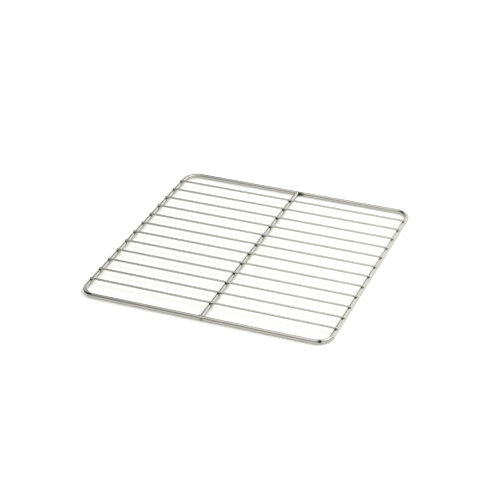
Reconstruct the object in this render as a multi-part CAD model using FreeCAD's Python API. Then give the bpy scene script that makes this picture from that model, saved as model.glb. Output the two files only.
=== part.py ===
# Oven shelf rack: one round bar bent to a frame, a centre bar welded in between its near and far
# sides, and thin wires welded across the top of both. +X runs along the wires, +Y along the centre
# bar, and z = 0 is the plane in which the frame lies on its runners.
import FreeCAD
import Part
import math
import os

# Driving dimensions in millimetres
rack_width = 325.0  # overall, along the wires
rack_depth = 354.0  # overall, along the centre bar
frame_diameter = 6.0  # round bar of the frame
corner_radius = 18.0  # bend of the frame, on the bar's centre line
centre_bar_diameter = 6.0
joint_sink = 1.2  # how far each cut end of the centre bar is melted into the frame
joint_bevel = 0.6  # bevel of that end, so that its top runs down onto the frame
joint_weld_leg = 1.4  # weld fillet beside each end of the centre bar
joint_weld_height = 4.0  # the fillet is ground off above and below this band
wire_count = 12
wire_diameter = 3.0
end_margin = 31.0  # from the centre line of the near or far side to the nearest wire
wire_overrun = 1.2  # from the side bar's centre line to the wire's sheared end
wire_sink = 0.4  # how deep a wire is pressed into the bars by its weld
spot_weld_foot = 4.0  # metal squeezed out where a wire crosses a bar, at its foot
spot_weld_crown = 2.2  # the same at the height of the wire's centre line
spot_weld_depth = 0.9  # from the bars' top down to the foot, inside the bar

# Places worked out from them
frame_radius = frame_diameter / 2
bar_radius = centre_bar_diameter / 2
wire_radius = wire_diameter / 2
side_x = rack_width / 2 - frame_radius  # centre line of the left and right sides
end_y = rack_depth / 2 - frame_radius  # centre line of the near and far sides
bend_x = side_x - corner_radius  # centre of a bend
bend_y = end_y - corner_radius
bar_z = frame_diameter - bar_radius  # the bar's top is level with the frame's top
bar_end_y = end_y - frame_radius + joint_sink
wire_pitch = 2 * (end_y - end_margin) / (wire_count - 1)  # the wires share the depth evenly
wire_z = frame_diameter - wire_sink + wire_radius
wire_end_x = side_x + wire_overrun
foot_z = frame_diameter - spot_weld_depth

up = FreeCAD.Vector(0, 0, 1)
along_wires = FreeCAD.Vector(1, 0, 0)
along_bar = FreeCAD.Vector(0, 1, 0)


def round_bar(centre, direction, length, diameter):
    start = centre - direction * (length / 2)
    return Part.makeCylinder(diameter / 2, length, start, direction)


def bend(corner_x, corner_y, first_angle):
    centre = FreeCAD.Vector(corner_x, corner_y, frame_radius)
    circle = Part.Circle(centre, up, corner_radius)
    first = math.radians(first_angle)
    return Part.ArcOfCircle(circle, first, first + math.pi / 2).toShape()


def frame_bar():
    # A round section swept once round the four bends and the four straight sides
    bends = [
        bend(bend_x, bend_y, 0),
        bend(-bend_x, bend_y, 90),
        bend(-bend_x, -bend_y, 180),
        bend(bend_x, -bend_y, 270),
    ]
    route = []
    for number, curve in enumerate(bends):
        following = bends[(number + 1) % len(bends)]
        side = Part.makeLine(curve.Vertexes[-1].Point, following.Vertexes[0].Point)
        route.extend([curve, side])
    start = FreeCAD.Vector(side_x, bend_y, frame_radius)
    section = Part.Wire(Part.Circle(start, along_bar, frame_radius).toShape())
    return Part.Wire(route).makePipeShell([section], True, True)


def joint_weld(sign):
    # A cone of weld metal in the corner between the bar's end and the frame, ground flat
    inner_face_y = end_y - frame_radius
    length = joint_weld_leg + joint_sink
    start = FreeCAD.Vector(0, sign * (inner_face_y - joint_weld_leg), bar_z)
    outer_radius = bar_radius + length
    cone = Part.makeCone(bar_radius, outer_radius, length, start, along_bar * sign)
    band_corner = FreeCAD.Vector(-outer_radius, -rack_depth / 2, bar_z - joint_weld_height / 2)
    band = Part.makeBox(2 * outer_radius, rack_depth, joint_weld_height, band_corner)
    return cone.common(band)


def centre_bar(frame):
    middle = FreeCAD.Vector(0, 0, bar_z)
    bar = round_bar(middle, along_bar, 2 * bar_end_y, centre_bar_diameter)
    rims = [edge for edge in bar.Edges if isinstance(edge.Curve, Part.Circle)]
    bar = bar.makeChamfer(joint_bevel, rims)
    return bar.multiFuse([joint_weld(1), joint_weld(-1)]).cut(frame)


def spot_weld(x, y):
    # A low pyramid of squeezed-out metal under the wire, with its foot inside the bar
    foot = spot_weld_foot / 2
    crown = spot_weld_crown / 2
    pyramid = Part.makeWedge(-foot, 0, -foot, -crown, -crown, foot, wire_z - foot_z, foot, crown, crown)
    pyramid.rotate(FreeCAD.Vector(), along_wires, 90)
    pyramid.translate(FreeCAD.Vector(x, y, foot_z))
    return pyramid


def cross_wire(y, frame, bar):
    middle = FreeCAD.Vector(0, y, wire_z)
    wire = round_bar(middle, along_wires, 2 * wire_end_x, wire_diameter)
    welds = [spot_weld(x, y) for x in (-side_x, 0, side_x)]
    return wire.multiFuse(welds).cut([frame, bar])


def write(name, shape):
    os.makedirs("parts", exist_ok=True)
    shape.removeSplitter().exportStep(f"parts/{name}.step")


frame = frame_bar()
bar = centre_bar(frame)
write("frame_bar", frame)
write("centre_bar", bar)
for number in range(wire_count):
    steps_from_middle = (wire_count - 1) / 2 - number  # the first wire is the farthest in +Y
    wire = cross_wire(steps_from_middle * wire_pitch, frame, bar)
    write(f"cross_wire_{number + 1:02d}", wire)
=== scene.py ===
import math
import bpy
from mathutils import Matrix, Vector


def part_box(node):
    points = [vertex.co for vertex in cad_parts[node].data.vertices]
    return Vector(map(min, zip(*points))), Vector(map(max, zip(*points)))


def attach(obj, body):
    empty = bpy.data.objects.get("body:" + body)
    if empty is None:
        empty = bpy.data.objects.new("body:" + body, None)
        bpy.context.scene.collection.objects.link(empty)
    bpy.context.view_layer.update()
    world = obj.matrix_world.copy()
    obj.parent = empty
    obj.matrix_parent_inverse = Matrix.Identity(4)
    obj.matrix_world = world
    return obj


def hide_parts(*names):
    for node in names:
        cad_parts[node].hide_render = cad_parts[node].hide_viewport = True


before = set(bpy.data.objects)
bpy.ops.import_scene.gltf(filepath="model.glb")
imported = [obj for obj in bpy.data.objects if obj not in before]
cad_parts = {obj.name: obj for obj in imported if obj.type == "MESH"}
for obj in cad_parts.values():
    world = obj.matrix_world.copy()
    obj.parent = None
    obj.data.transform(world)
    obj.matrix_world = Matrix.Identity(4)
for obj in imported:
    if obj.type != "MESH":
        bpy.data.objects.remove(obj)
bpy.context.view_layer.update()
mm = 0.001
print("frame loaded:", len(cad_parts), "nodes")


def linearColour(hexText):
    channels = [int(hexText[i:i + 2], 16) / 255 for i in (1, 3, 5)]
    return [c / 12.92 if c <= 0.04045 else ((c + 0.055) / 1.055) ** 2.4 for c in channels] + [1.0]


def addNode(tree, kind, inputs=None, **settings):
    node = tree.nodes.new(kind)
    for name, value in settings.items():
        setattr(node, name, value)
    for key, value in (inputs or {}).items():
        if isinstance(value, bpy.types.NodeSocket):
            tree.links.new(value, node.inputs[key])
        else:
            node.inputs[key].default_value = value
    return node


# Materials: the finish of the bars and that of the wires differ only in these values
barFinish = {
    "name": "electropolishedStainlessBar",  # a soft mirror that draws walls and floor as lines along the bar
    "metal": "#C3C2BD",
    "streakMetal": "#B6B5AF",  # the drawing marks that polishing leaves
    "roughness": 0.06,
    "streakRoughness": 0.07,
    "streakLength": 14 * mm,
    "streakWidth": 0.7 * mm,  # real marks are near 0.1 mm, drawn coarser so that they show
    "streakDepth": 0.012 * mm,
}
wireFinish = {
    "name": "drawnStainlessWire",  # pulled through a die and not polished after, so duller than the bars
    "metal": "#D1D1CC",
    "streakMetal": "#BEBEB8",
    "roughness": 0.14,
    "streakRoughness": 0.1,
    "streakLength": 9 * mm,
    "streakWidth": 0.4 * mm,  # coarser than the die marks, so that they show
    "streakDepth": 0.01 * mm,
}
streakBand = (0.35, 0.7)  # levels of the noise between which a mark comes up
bumpStrength = 0.6
heatTintAndShade = {  # oxide colours round a weld, each with the heat at which it shows; the same ramp also paints shade and a dark reflection at the marked points
    "clear": (0.15, "#FFFFFF"),
    "straw": (0.4, "#CFCABD"),
    "brown": (0.68, "#7F7971"),
    "scale": (0.95, "#45413B"),
    "wander": 0.8,  # how far the grain moves the edges of the colours
    "roughness": 0.5,
    "grain": 0.5 * mm,
    "grainDepth": 0.03 * mm,
}


def makeStainless(finish):
    material = bpy.data.materials.new(finish["name"])
    material.use_nodes = True
    tree = material.node_tree
    shader = tree.nodes["Principled BSDF"]
    shader.inputs["Metallic"].default_value = 1.0
    place = addNode(tree, "ShaderNodeTexCoord").outputs["Object"]
    along = addNode(tree, "ShaderNodeAttribute", attribute_name="alongBar").outputs["Fac"]
    section = addNode(tree, "ShaderNodeAttribute", attribute_name="section").outputs["Vector"]
    # This attribute holds heat tint round the welds, and also painted shade at the crossings, the far joint
    # and the seam, and a painted dark reflection on the near right bend
    heatAndShade = addNode(tree, "ShaderNodeAttribute", attribute_name="weldHeatAndShade").outputs["Fac"]

    # Drawing marks run along the bar: short steps round the section, long ones along it
    across = addNode(tree, "ShaderNodeSeparateXYZ", {"Vector": section}).outputs
    steps = {}
    for axis, way, size in (("X", along, "streakLength"), ("Y", across["X"], "streakWidth"),
                            ("Z", across["Y"], "streakWidth")):
        steps[axis] = addNode(tree, "ShaderNodeMath", {0: way, 1: 1 / finish[size]},
                              operation="MULTIPLY").outputs[0]
    stretched = addNode(tree, "ShaderNodeCombineXYZ", steps).outputs[0]
    streak = addNode(tree, "ShaderNodeTexNoise", {
        "Vector": stretched, "Scale": 1.0, "Detail": 3.0, "Roughness": 0.6}).outputs["Fac"]
    marked = addNode(tree, "ShaderNodeMapRange", {
        "Value": streak, "From Min": streakBand[0], "From Max": streakBand[1]}).outputs[0]
    cold = addNode(tree, "ShaderNodeMix", {
        "Factor": marked, 6: linearColour(finish["metal"]), 7: linearColour(finish["streakMetal"])},
        data_type="RGBA").outputs[2]

    # The tint's edge wanders a little with the grain of the scale
    grain = addNode(tree, "ShaderNodeTexNoise", {
        "Vector": place, "Scale": 1 / heatTintAndShade["grain"], "Detail": 2.0}).outputs["Fac"]
    wander = addNode(tree, "ShaderNodeMath", {
        0: grain, 1: heatTintAndShade["wander"], 2: -heatTintAndShade["wander"] / 2}, operation="MULTIPLY_ADD").outputs[0]
    edged = addNode(tree, "ShaderNodeMath", {
        0: wander, 1: heatAndShade, 2: heatAndShade}, operation="MULTIPLY_ADD").outputs[0]
    # The ramp darkens the metal for heat tint and for painted shade alike
    ramp = addNode(tree, "ShaderNodeValToRGB", {"Fac": edged})
    stops = ramp.color_ramp.elements
    for tint in ("straw", "brown"):
        stops.new(heatTintAndShade[tint][0])
    for stop, tint in zip(stops, ("clear", "straw", "brown", "scale")):
        stop.position = heatTintAndShade[tint][0]
        stop.color = linearColour(heatTintAndShade[tint][1])
    tinted = addNode(tree, "ShaderNodeMix", {"Factor": 1.0, 6: cold, 7: ramp.outputs[0]},
                     data_type="RGBA", blend_type="MULTIPLY").outputs[2]
    tree.links.new(tinted, shader.inputs["Base Color"])

    dull = addNode(tree, "ShaderNodeMath", {
        0: streak, 1: finish["streakRoughness"], 2: finish["roughness"]}, operation="MULTIPLY_ADD").outputs[0]
    rough = addNode(tree, "ShaderNodeMath", {
        0: edged, 1: heatTintAndShade["roughness"], 2: dull}, operation="MULTIPLY_ADD").outputs[0]
    tree.links.new(rough, shader.inputs["Roughness"])

    drawn = addNode(tree, "ShaderNodeMath", {
        0: streak, 1: finish["streakDepth"]}, operation="MULTIPLY").outputs[0]
    scale = addNode(tree, "ShaderNodeMath", {
        0: grain, 1: heatTintAndShade["grainDepth"]}, operation="MULTIPLY").outputs[0]
    height = addNode(tree, "ShaderNodeMath", {
        0: scale, 1: heatAndShade, 2: drawn}, operation="MULTIPLY_ADD").outputs[0]
    bump = addNode(tree, "ShaderNodeBump", {
        "Height": height, "Strength": bumpStrength, "Distance": 1.0}).outputs[0]
    tree.links.new(bump, shader.inputs["Normal"])
    return material


barMetal = makeStainless(barFinish)
wireMetal = makeStainless(wireFinish)
print("materials ready")

nuggetMark = 1  # a weld point with a nugget of squeezed-out metal
tintAndShadeMark = 2  # a point that only colours the metal round it: heat tint round a weld, painted shade, and a painted dark reflection
nuggetLumps = 2.2  # lumps across a nugget


# One Geometry Nodes tree makes every bar and wire. Its mesh holds the path as edges, and the welds and the
# painted shade and reflection marks as loose points. Each point has its share of the diameter, its mark and
# the strength of its tint as attributes.
def makeBarTree():
    tree = bpy.data.node_groups.new("roundBarTree", "GeometryNodeTree")
    sockets = tree.interface
    sockets.new_socket("Path", in_out="INPUT", socket_type="NodeSocketGeometry")
    for name, kind in (("Diameter", "Float"), ("Sides", "Int"), ("Tint Shade Core", "Float"),
                       ("Tint Shade Reach", "Float"), ("Nugget Width", "Float"), ("Nugget Height", "Float"),
                       ("Nugget Lump", "Float"), ("Seed", "Int"), ("Finish", "Material")):
        sockets.new_socket(name, in_out="INPUT", socket_type="NodeSocket" + kind)
    sockets.new_socket("Bar", in_out="OUTPUT", socket_type="NodeSocketGeometry")
    given = addNode(tree, "NodeGroupInput").outputs

    # Points of the path have the mark 0, so the welds and painted marks are those above half of the lowest
    # mark
    mark = addNode(tree, "GeometryNodeInputNamedAttribute", {"Name": "pointMark"}).outputs["Attribute"]
    isMarkPoint = addNode(tree, "FunctionNodeCompare", {0: mark, 1: nuggetMark / 2},
                     operation="GREATER_THAN").outputs[0]
    parted = addNode(tree, "GeometryNodeSeparateGeometry", {0: given["Path"], "Selection": isMarkPoint}).outputs
    markPoints = parted["Selection"]

    # The round section swept along the path
    curve = addNode(tree, "GeometryNodeMeshToCurve", {0: parted["Inverted"]}).outputs[0]
    length = addNode(tree, "GeometryNodeSplineParameter").outputs["Length"]
    curve = addNode(tree, "GeometryNodeStoreNamedAttribute", {
        "Geometry": curve, "Name": "alongBar", "Value": length}, data_type="FLOAT").outputs[0]
    radius = addNode(tree, "ShaderNodeMath", {
        0: given["Diameter"], 1: 0.5}, operation="MULTIPLY").outputs[0]
    circle = addNode(tree, "GeometryNodeCurvePrimitiveCircle", {
        "Resolution": given["Sides"], "Radius": radius}).outputs[0]
    position = addNode(tree, "GeometryNodeInputPosition").outputs[0]
    circle = addNode(tree, "GeometryNodeStoreNamedAttribute", {
        "Geometry": circle, "Name": "section", "Value": position}, data_type="FLOAT_VECTOR").outputs[0]
    share = addNode(tree, "GeometryNodeInputNamedAttribute", {"Name": "share"}).outputs["Attribute"]
    skin = addNode(tree, "GeometryNodeCurveToMesh", {
        "Curve": curve, "Profile Curve": circle, "Scale": share, "Fill Caps": True}).outputs[0]

    # A nugget is a squashed ball whose surface wanders, under the wire at each crossing
    ball = addNode(tree, "GeometryNodeMeshIcoSphere", {"Radius": 0.5, "Subdivisions": 4}).outputs[0]
    isNugget = addNode(tree, "FunctionNodeCompare", {0: mark, 1: (nuggetMark + tintAndShadeMark) / 2},
                       operation="LESS_THAN").outputs[0]
    size = addNode(tree, "ShaderNodeCombineXYZ", {
        "X": given["Nugget Width"], "Y": given["Nugget Width"], "Z": given["Nugget Height"]}).outputs[0]
    nuggets = addNode(tree, "GeometryNodeInstanceOnPoints", {
        "Points": markPoints, "Selection": isNugget, "Instance": ball, "Scale": size}).outputs[0]
    nuggets = addNode(tree, "GeometryNodeRealizeInstances", {0: nuggets}).outputs[0]
    lumpScale = addNode(tree, "ShaderNodeMath", {
        0: nuggetLumps, 1: given["Nugget Width"]}, operation="DIVIDE").outputs[0]
    lumps = addNode(tree, "ShaderNodeTexNoise", {
        "Vector": position, "W": given["Seed"], "Scale": lumpScale, "Detail": 1.0},
        noise_dimensions="4D").outputs["Fac"]
    centred = addNode(tree, "ShaderNodeMath", {0: lumps, 1: 0.5}, operation="SUBTRACT").outputs[0]
    pushed = addNode(tree, "ShaderNodeMath", {
        0: centred, 1: given["Nugget Lump"]}, operation="MULTIPLY").outputs[0]
    normal = addNode(tree, "GeometryNodeInputNormal").outputs[0]
    offset = addNode(tree, "ShaderNodeVectorMath", {
        0: normal, "Scale": pushed}, operation="SCALE").outputs[0]
    nuggets = addNode(tree, "GeometryNodeSetPosition", {
        "Geometry": nuggets, "Offset": offset}).outputs[0]
    both = addNode(tree, "GeometryNodeJoinGeometry")
    tree.links.new(skin, both.inputs[0])
    tree.links.new(nuggets, both.inputs[0])

    # Heat tint and painted shade of the nearest marked point, at full strength in the core and 0 past its
    # reach
    distance = addNode(tree, "GeometryNodeProximity", {
        0: markPoints}, target_element="POINTS").outputs["Distance"]
    nearest = addNode(tree, "GeometryNodeSampleNearest", {0: markPoints}, domain="POINT").outputs[0]
    tint = addNode(tree, "GeometryNodeInputNamedAttribute", {"Name": "tint"}).outputs["Attribute"]
    strength = addNode(tree, "GeometryNodeSampleIndex", {
        "Geometry": markPoints, "Value": tint, "Index": nearest}, data_type="FLOAT", domain="POINT").outputs[0]
    heatAndShade = addNode(tree, "ShaderNodeMapRange", {
        "Value": distance, "From Min": given["Tint Shade Core"], "From Max": given["Tint Shade Reach"],
        "To Min": strength, "To Max": 0.0}).outputs[0]
    withTintAndShade = addNode(tree, "GeometryNodeStoreNamedAttribute", {
        "Geometry": both.outputs[0], "Name": "weldHeatAndShade", "Value": heatAndShade}, data_type="FLOAT").outputs[0]

    # The flat caps have more corners than the other faces, and stay flat
    corners = addNode(tree, "GeometryNodeInputMeshFaceNeighbors").outputs["Vertex Count"]
    isRound = addNode(tree, "FunctionNodeCompare", {2: corners, 3: 5},
                      data_type="INT", operation="LESS_THAN").outputs[0]
    smooth = addNode(tree, "GeometryNodeSetShadeSmooth", {
        "Geometry": withTintAndShade, "Shade Smooth": isRound}).outputs[0]
    real = addNode(tree, "GeometryNodeRealizeInstances", {0: smooth}).outputs[0]
    done = addNode(tree, "GeometryNodeSetMaterial", {
        "Geometry": real, "Material": given["Finish"]}).outputs[0]
    addNode(tree, "NodeGroupOutput", {"Bar": done})
    return tree


barTree = makeBarTree()


def makePiece(name, paths, markPoints, sizes):
    # paths: (points, shares, closed); marked points: (place, mark, strength of the tint), which are welds,
    # painted shade and a painted dark reflection
    points = []
    shares = []
    edges = []
    for route, routeShares, closed in paths:
        first = len(points)
        points.extend(route)
        shares.extend(routeShares)
        edges.extend((first + i, first + i + 1) for i in range(len(route) - 1))
        if closed:
            edges.append((len(points) - 1, first))
    marks = [0.0] * len(points) + [float(mark) for place, mark, tint in markPoints]
    tints = [0.0] * len(points) + [tint for place, mark, tint in markPoints]
    points.extend(place for place, mark, tint in markPoints)
    shares.extend([1.0] * len(markPoints))
    host = bpy.data.meshes.new(name + "Path")
    host.from_pydata(points, edges, [])
    for attribute, values in (("share", shares), ("pointMark", marks), ("tint", tints)):
        host.attributes.new(attribute, "FLOAT", "POINT").data.foreach_set("value", values)
    piece = bpy.data.objects.new(name, host)
    bpy.context.scene.collection.objects.link(piece)
    modifier = piece.modifiers.new("roundBar", "NODES")
    modifier.node_group = barTree
    for item in barTree.interface.items_tree:
        if item.in_out == "INPUT" and item.name in sizes:
            modifier[item.identifier] = sizes[item.name]
    bpy.context.view_layer.update()
    mesh = bpy.data.meshes.new_from_object(piece.evaluated_get(bpy.context.evaluated_depsgraph_get()))
    piece.modifiers.clear()
    piece.data = mesh
    mesh.name = name
    bpy.data.meshes.remove(host)
    return piece


def spread(start, end, step):
    count = max(1, math.ceil(abs(end - start) / step))
    return [start + (end - start) * i / count for i in range(count + 1)]


# Frame: one bar bent round four corners, starting and ending in the butt weld of the near side
frameBar = {
    "cornerRadius": 18 * mm,  # on the centre line
    "step": 1.0 * mm,
    "bendSteps": 36,
    "sides": 32,
    "seamX": 1.5 * mm,
    "seamDepth": 0.05,  # share of the diameter that the ground seam is low
    "seamWidth": 0.7 * mm,
    # The seam's darkening is painted shade of its groove
    "seamShade": 0.5,
    "seamShadeDrop": 1.0 * mm,  # the painted groove shade sits under the middle of the bar's outer face
    "bendThinning": 0.012,  # the bar is drawn thinner where it is bent
    "tintShadeCore": 1.6 * mm,
    "tintShadeReach": 3.0 * mm,
}
frameLow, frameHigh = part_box("frame_bar")
barDiameter = frameHigh.z - frameLow.z
barRadius = barDiameter / 2
sideX = frameHigh.x - barRadius
endY = frameHigh.y - barRadius
bendX = sideX - frameBar["cornerRadius"]
bendY = endY - frameBar["cornerRadius"]
wireNames = sorted(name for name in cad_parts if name.startswith("cross_wire"))
wireYs = []
for name in wireNames:
    low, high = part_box(name)
    wireYs.append((low.y + high.y) / 2)


def framePath():
    route = []
    shares = []

    def straight(start, end):
        count = math.ceil((end - start).length / frameBar["step"])
        for i in range(count):
            route.append(start.lerp(end, i / count))
            shares.append(1.0)

    def bend(centreX, centreY, firstAngle):
        for i in range(frameBar["bendSteps"]):
            part = i / frameBar["bendSteps"]
            angle = math.radians(firstAngle) + part * math.pi / 2
            route.append(Vector((centreX + frameBar["cornerRadius"] * math.cos(angle),
                                 centreY + frameBar["cornerRadius"] * math.sin(angle), barRadius)))
            shares.append(1.0 - frameBar["bendThinning"] * math.sin(part * math.pi) ** 2)

    seam = Vector((frameBar["seamX"], -endY, barRadius))
    straight(seam, Vector((bendX, -endY, barRadius)))
    bend(bendX, -bendY, -90)
    straight(Vector((sideX, -bendY, barRadius)), Vector((sideX, bendY, barRadius)))
    bend(bendX, bendY, 0)
    straight(Vector((bendX, endY, barRadius)), Vector((-bendX, endY, barRadius)))
    bend(-bendX, bendY, 90)
    straight(Vector((-sideX, bendY, barRadius)), Vector((-sideX, -bendY, barRadius)))
    bend(-bendX, -bendY, 180)
    straight(Vector((-bendX, -endY, barRadius)), seam)
    for i, point in enumerate(route):
        away = (point - seam).length / frameBar["seamWidth"]
        shares[i] -= frameBar["seamDepth"] * math.exp(-away * away)
    return route, shares, True


weldTintAndContactShade = {  # of the farthest and of the nearest wire's welds, where 1 is black: heat tint of the weld and painted contact shade at the foot of each crossing
    "left": (0.8, 0.8),
    "middle": (1.0, 1.0),
    "right": (0.48, 0.8),
}


def weldsAcross(y):
    nearness = (wireYs[0] - y) / (wireYs[0] - wireYs[-1])
    for x, bar in ((-sideX, "left"), (0.0, "middle"), (sideX, "right")):
        farthest, nearest = weldTintAndContactShade[bar]
        yield x, farthest + nearness * (nearest - farthest)


# Each crossing darkens the bars round it with heat tint and painted contact shade
crossings = [(Vector((x, y, barDiameter)), tintAndShadeMark, tint) for y in wireYs for x, tint in weldsAcross(y)]

jointShade = {  # painted shade: a dark band that runs along the far side, from the weld of the centre bar, and fades
    "fromX": 3.6 * mm,
    "length": 4.4 * mm,
    "rise": 0.8 * mm,
    "points": 8,
    "first": 0.95,
    "last": 0.55,
}
# Painted shade along the far bar beside the centre bar's weld
jointShadeMarks = []
for number in range(jointShade["points"]):
    part = number / (jointShade["points"] - 1)
    shadeX = jointShade["fromX"] + part * jointShade["length"]
    shadePlace = Vector((shadeX, endY - barRadius, barRadius + jointShade["rise"]))
    shadeStrength = jointShade["first"] + part * (jointShade["last"] - jointShade["first"])
    jointShadeMarks.append((shadePlace, tintAndShadeMark, shadeStrength))

# Painted shade in the groove of the butt seam
seamShadePlace = Vector((frameBar["seamX"], -endY - barRadius, barRadius - frameBar["seamShadeDrop"]))
seamShadeMarks = [(seamShadePlace, tintAndShadeMark, frameBar["seamShade"])]

darkReflectionMark = {  # a painted dark reflection on the outer face of the near right bend
    "bendAngle": -65,
    "outward": 2.1 * mm,
    "rise": 2.1 * mm,
    "tint": 0.85,
}
# Painted dark reflection on the near right bend
reflectionAngle = math.radians(darkReflectionMark["bendAngle"])
reflectionReach = frameBar["cornerRadius"] + darkReflectionMark["outward"]
reflectionX = bendX + reflectionReach * math.cos(reflectionAngle)
reflectionY = -bendY + reflectionReach * math.sin(reflectionAngle)
darkReflectionMarks = [(Vector((reflectionX, reflectionY, barRadius + darkReflectionMark["rise"])), tintAndShadeMark, darkReflectionMark["tint"])]

barSizes = {  # no nuggets, since those belong to the wires
    "Diameter": barDiameter,
    "Sides": frameBar["sides"],
    "Tint Shade Core": frameBar["tintShadeCore"],
    "Tint Shade Reach": frameBar["tintShadeReach"],
    "Finish": barMetal,
}
sideMarks = [weld for weld in crossings if abs(weld[0].x) > barRadius]
frameMarks = sideMarks + jointShadeMarks + seamShadeMarks + darkReflectionMarks
bentBar = makePiece("bentFrameBar", [framePath()], frameMarks, barSizes)
print("frame bar:", len(bentBar.data.polygons), "faces")

# Centre bar: its ends run into the frame, with a weld bead on each side of each end
centreBar = {
    "step": 1.0 * mm,
    "endSink": 1.2 * mm,  # how far each end is melted into the frame
}
jointWeld = {  # fillet weld where the centre bar meets the frame
    "reachAngle": 60,  # degrees above and below the frame's plane
    "diameter": 2.6 * mm,
    "set": 0.15 * mm,  # out of the notch, along both bars
    "rippleLength": 1.1 * mm,
    "rippleDepth": 0.09,
    "points": 60,
    "bluntPart": 0.02,  # share of the bead at each end that tapers no further
    "taper": 0.6,  # power of the sine that the bead swells by
}


def jointBead(sign, side):
    route = []
    shares = []
    travelled = 0.0
    reach = math.radians(jointWeld["reachAngle"])
    for i in range(jointWeld["points"]):
        part = i / (jointWeld["points"] - 1)
        angle = -reach + 2 * reach * i / (jointWeld["points"] - 1)
        out = barRadius * math.cos(angle) + jointWeld["set"]
        route.append(Vector((side * out, sign * (endY - out), barRadius + barRadius * math.sin(angle))))
        if i:
            travelled += (route[i] - route[i - 1]).length
        tapered = min(max(part, jointWeld["bluntPart"]), 1 - jointWeld["bluntPart"])
        swell = math.sin(math.pi * tapered) ** jointWeld["taper"]
        wave = math.sin(2 * math.pi * travelled / jointWeld["rippleLength"])
        ripple = 1 + jointWeld["rippleDepth"] * wave
        shares.append(jointWeld["diameter"] / barDiameter * swell * ripple)
    return route, shares, False


barEnd = endY - barRadius + centreBar["endSink"]
barRoute = [Vector((0, y, barRadius)) for y in spread(-barEnd, barEnd, centreBar["step"])]
barPaths = [(barRoute, [1.0] * len(barRoute), False)]
barPaths += [jointBead(sign, side) for sign in (1, -1) for side in (1, -1)]
middleMarks = [weld for weld in crossings if abs(weld[0].x) < barRadius]
weldedBar = makePiece("weldedCentreBar", barPaths, middleMarks + jointShadeMarks, barSizes)
print("centre bar:", len(weldedBar.data.polygons), "faces")

# Cross wires: pressed a little into the bars, with squeezed-out metal at the three crossings
crossWire = {
    "diameter": 3.0 * mm,
    "overrun": 1.2 * mm,  # past the side bar's centre line
    "step": 1.0 * mm,
    "sides": 18,
    "endRounding": 0.25 * mm,  # what shearing and tumbling leave of the edge
    "endRings": (0.45, 0.8, 1.0),  # how far round the edge each ring stands
    "ringGap": 0.3,  # from ring to ring, as a share of the rounding
    "nuggetWidth": 3.9 * mm,
    "nuggetHeight": 2.1 * mm,
    "nuggetLow": 0.15 * mm,  # middle of the nugget under the bars' top
    "nuggetLump": 0.6 * mm,
    "tintShadeCore": 1.6 * mm,
    "tintShadeReach": 2.9 * mm,
    "firstSeed": 3,
    "seedStep": 7,
}
wireSizes = {
    "Diameter": crossWire["diameter"],
    "Sides": crossWire["sides"],
    "Tint Shade Core": crossWire["tintShadeCore"],
    "Tint Shade Reach": crossWire["tintShadeReach"],
    "Nugget Width": crossWire["nuggetWidth"],
    "Nugget Height": crossWire["nuggetHeight"],
    "Nugget Lump": crossWire["nuggetLump"],
    "Finish": wireMetal,
}
wireEnd = sideX + crossWire["overrun"]
rounding = crossWire["endRounding"]
ringGap = rounding * crossWire["ringGap"]
wireXs = spread(-wireEnd + rounding, wireEnd - rounding, crossWire["step"])
wireShares = [1.0] * len(wireXs)
for part in crossWire["endRings"]:
    inset = 1 - math.sqrt(1 - part * part)
    ringShare = 1 - inset * 2 * rounding / crossWire["diameter"]
    wireXs = [wireXs[0] - ringGap] + wireXs + [wireXs[-1] + ringGap]
    wireShares = [ringShare] + wireShares + [ringShare]
nuggetZ = barDiameter - crossWire["nuggetLow"]
wires = []
for number, (name, y) in enumerate(zip(wireNames, wireYs)):
    low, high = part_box(name)
    wireZ = high.z - crossWire["diameter"] / 2
    route = [Vector((x, y, wireZ)) for x in wireXs]
    # The wires darken round each nugget with heat tint and painted contact shade
    markPoints = [(Vector((x, y, nuggetZ)), nuggetMark, tint) for x, tint in weldsAcross(y)]
    seed = number * crossWire["seedStep"] + crossWire["firstSeed"]
    wire = makePiece(f"weldedCrossWire{number + 1:02d}", [(route, wireShares, False)], markPoints,
                     dict(wireSizes, Seed=seed))
    wires.append((wire, name))
print("cross wires:", len(wires), "with", len(wires[0][0].data.polygons), "faces each")

for piece, node in [(bentBar, "frame_bar"), (weldedBar, "centre_bar")] + wires:
    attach(piece, "root")
    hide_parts(node)

# Floor: pale matt board, white to the camera and in the metal, and still taking the rack's shadow
floorBoard = {
    "halfSize": 4.0,
    "colour": "#F6F6F1",
    "roughness": 0.9,
    "glow": 0.275,  # what the lamps leave to plain white under the rack
    "farGlow": 0.47,  # the same away from the lamps
    "glowFrom": 0.2,  # distances from the middle between which it grows
    "glowTo": 0.6,
}
half = floorBoard["halfSize"]
floorCorners = [(-half, -half, 0), (half, -half, 0), (half, half, 0), (-half, half, 0)]
floorMesh = bpy.data.meshes.new("floorBoard")
floorMesh.from_pydata(floorCorners, [], [(0, 1, 2, 3)])
floor = bpy.data.objects.new("floorBoard", floorMesh)
bpy.context.scene.collection.objects.link(floor)
board = bpy.data.materials.new("mattFloorBoard")
board.use_nodes = True
boardTree = board.node_tree
matt = boardTree.nodes["Principled BSDF"]
matt.inputs["Base Color"].default_value = linearColour(floorBoard["colour"])
matt.inputs["Roughness"].default_value = floorBoard["roughness"]
matt.inputs["Specular IOR Level"].default_value = 0.0
rays = addNode(boardTree, "ShaderNodeLightPath").outputs
seen = rays["Is Camera Ray"]
for kind in ("Is Glossy Ray", "Is Transmission Ray"):
    seen = addNode(boardTree, "ShaderNodeMath", {0: seen, 1: rays[kind]}, operation="MAXIMUM").outputs[0]
ground = addNode(boardTree, "ShaderNodeTexCoord").outputs["Object"]
fromMiddle = addNode(boardTree, "ShaderNodeVectorMath", {0: ground}, operation="LENGTH").outputs["Value"]
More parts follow.
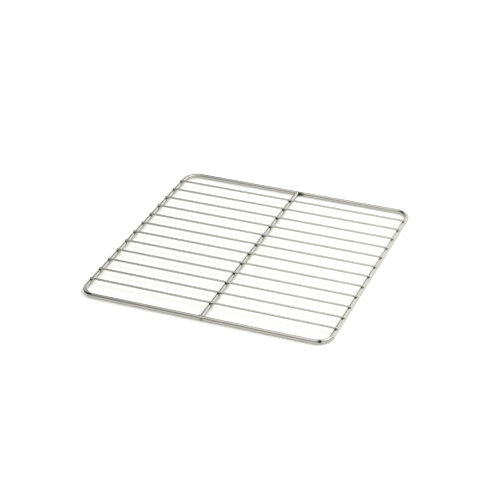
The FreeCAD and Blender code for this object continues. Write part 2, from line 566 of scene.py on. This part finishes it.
missing = addNode(boardTree, "ShaderNodeMapRange", {
    "Value": fromMiddle, "From Min": floorBoard["glowFrom"], "From Max": floorBoard["glowTo"],
    "To Min": floorBoard["glow"], "To Max": floorBoard["farGlow"]},
    interpolation_type="SMOOTHSTEP").outputs[0]
glow = addNode(boardTree, "ShaderNodeMath", {0: seen, 1: missing}, operation="MULTIPLY").outputs[0]
white = addNode(boardTree, "ShaderNodeEmission", {"Color": linearColour("#FFFFFF"), "Strength": glow})
added = addNode(boardTree, "ShaderNodeAddShader", {0: matt.outputs[0], 1: white.outputs[0]})
boardTree.links.new(added.outputs[0], boardTree.nodes["Material Output"].inputs["Surface"])
floorMesh.materials.append(board)
print("floor laid")

# Room: light front wall, grey back wall and ceiling, with spots that the bends pick up
room = {
    "ceiling": 0.46,
    "frontWall": 0.6,
    "backWall": 0.4,
    "frontToBack": (-0.5, 0.5),  # between which the front wall turns into the back wall, along Y
    "wallTop": 0.45,  # sine of the height at which the wall ends
    "ceilingFrom": 0.75,
    "leftShare": 0.75,
    "rightShare": 1.2,
    "leftToRight": (-0.6, 0.4),  # between which the left share turns into the right one, along X
}
roomSpots = {  # inner and outer reach in degrees, share of the light that is kept, light that is added
    "cameraStand": {
        "towards": (0.31, -0.81, 0.49), "inner": 15, "outer": 28, "kept": 0.06, "added": 0.0},
    "unlitCorner": {
        "towards": (-0.86, 0.0, 0.51), "inner": 25, "outer": 39, "kept": 0.03, "added": 0.0},
    "sideWindow": {
        "towards": (-0.72, 0.51, 0.47), "inner": 8, "outer": 24, "kept": 1.0, "added": 0.7},
}
world = bpy.data.worlds.new("studioRoom")
bpy.context.scene.world = world
world.use_nodes = True
roomTree = world.node_tree
outwards = addNode(roomTree, "ShaderNodeTexCoord").outputs["Generated"]
towards = addNode(roomTree, "ShaderNodeSeparateXYZ", {0: outwards}).outputs
wall = addNode(roomTree, "ShaderNodeMapRange", {
    "Value": towards["Y"], "From Min": room["frontToBack"][0], "From Max": room["frontToBack"][1],
    "To Min": room["frontWall"], "To Max": room["backWall"]}).outputs[0]
overhead = addNode(roomTree, "ShaderNodeMapRange", {
    "Value": towards["Z"], "From Min": room["wallTop"], "From Max": room["ceilingFrom"]},
    interpolation_type="SMOOTHSTEP").outputs[0]
light = addNode(roomTree, "ShaderNodeMix", {0: overhead, 2: wall, 3: room["ceiling"]}).outputs[0]
sideShare = addNode(roomTree, "ShaderNodeMapRange", {
    "Value": towards["X"], "From Min": room["leftToRight"][0], "From Max": room["leftToRight"][1],
    "To Min": room["leftShare"], "To Max": room["rightShare"]}).outputs[0]
light = addNode(roomTree, "ShaderNodeMath", {0: light, 1: sideShare}, operation="MULTIPLY").outputs[0]
for spot in roomSpots.values():
    nearSpot = addNode(roomTree, "ShaderNodeVectorMath", {
        0: outwards, 1: Vector(spot["towards"]).normalized()}, operation="DOT_PRODUCT").outputs["Value"]
    inside = addNode(roomTree, "ShaderNodeMapRange", {
        "Value": nearSpot, "From Min": math.cos(math.radians(spot["outer"])),
        "From Max": math.cos(math.radians(spot["inner"]))}, interpolation_type="SMOOTHSTEP").outputs[0]
    changed = addNode(roomTree, "ShaderNodeMath", {0: light, 1: spot["kept"], 2: spot["added"]},
                      operation="MULTIPLY_ADD").outputs[0]
    light = addNode(roomTree, "ShaderNodeMix", {0: inside, 2: light, 3: changed}).outputs[0]
roomTree.links.new(light, roomTree.nodes["Background"].inputs["Strength"])
roomTree.nodes["Background"].inputs["Color"].default_value = linearColour("#FFFFFF")

# Three soft boxes: one stands behind the rack, one hangs over it and ends a little to its left, and one
# shines down from the far right corner and draws the soft shadow in front of the near side
softBoxes = {
    "backBox": {
        "place": (0.48, 1.05, 0.51), "facing": (0, -1, 0), "turn": 0,
        "width": 1.8, "height": 0.98, "radiance": 0.88},
    "overheadBox": {
        "place": (0.29, -0.2, 1.0), "facing": (0, 0, -1), "turn": 20,
        "width": 1.5, "height": 1.4, "radiance": 0.9},
    "cornerBox": {
        "place": (0.68, 0.45, 0.95), "facing": (-0.54, -0.36, -0.76), "turn": 0,
        "width": 0.7, "height": 0.7, "radiance": 1.9},
}
for name, box in softBoxes.items():
    lamp = bpy.data.lights.new(name, "AREA")
    lamp.shape = "RECTANGLE"
    lamp.size = box["width"]
    lamp.size_y = box["height"]
    lamp.energy = math.pi * box["width"] * box["height"] * box["radiance"]
    lampObject = bpy.data.objects.new(name, lamp)
    lampObject.location = box["place"]
    aimed = Vector(box["facing"]).to_track_quat("-Z", "Y").to_matrix()
    lampObject.rotation_euler = (Matrix.Rotation(math.radians(box["turn"]), 3, "Z") @ aimed).to_euler()
    lampObject.visible_camera = False
    bpy.context.scene.collection.objects.link(lampObject)
print("room and soft boxes ready")

# Camera, placed and turned from the lines of the rack's sides and wires
viewPoint = {
    "place": (0.63261, -1.68422, 1.01859),
    "azimuth": 20.688,
    "elevation": 29.396,
    "roll": 0.380,
    "lens": 116.02,
    "sensor": 36.0,
    "farClip": 30,
}
azimuth = math.radians(viewPoint["azimuth"])
elevation = math.radians(viewPoint["elevation"])
roll = math.radians(viewPoint["roll"])
back = Vector((math.sin(azimuth) * math.cos(elevation), -math.cos(azimuth) * math.cos(elevation),
               math.sin(elevation)))
level = Vector((math.cos(azimuth), math.sin(azimuth), 0))
upright = back.cross(level)
right = level * math.cos(roll) + upright * math.sin(roll)
up = upright * math.cos(roll) - level * math.sin(roll)
turn = Matrix((right, up, back)).transposed()
camera = bpy.data.objects.new("camera", bpy.data.cameras.new("camera"))
camera.data.lens = viewPoint["lens"]
camera.data.sensor_width = viewPoint["sensor"]
camera.data.clip_end = viewPoint["farClip"]
camera.matrix_world = Matrix.Translation(viewPoint["place"]) @ turn.to_4x4()
bpy.context.scene.collection.objects.link(camera)
bpy.context.scene.camera = camera
bpy.context.scene.view_settings.view_transform = "Standard"
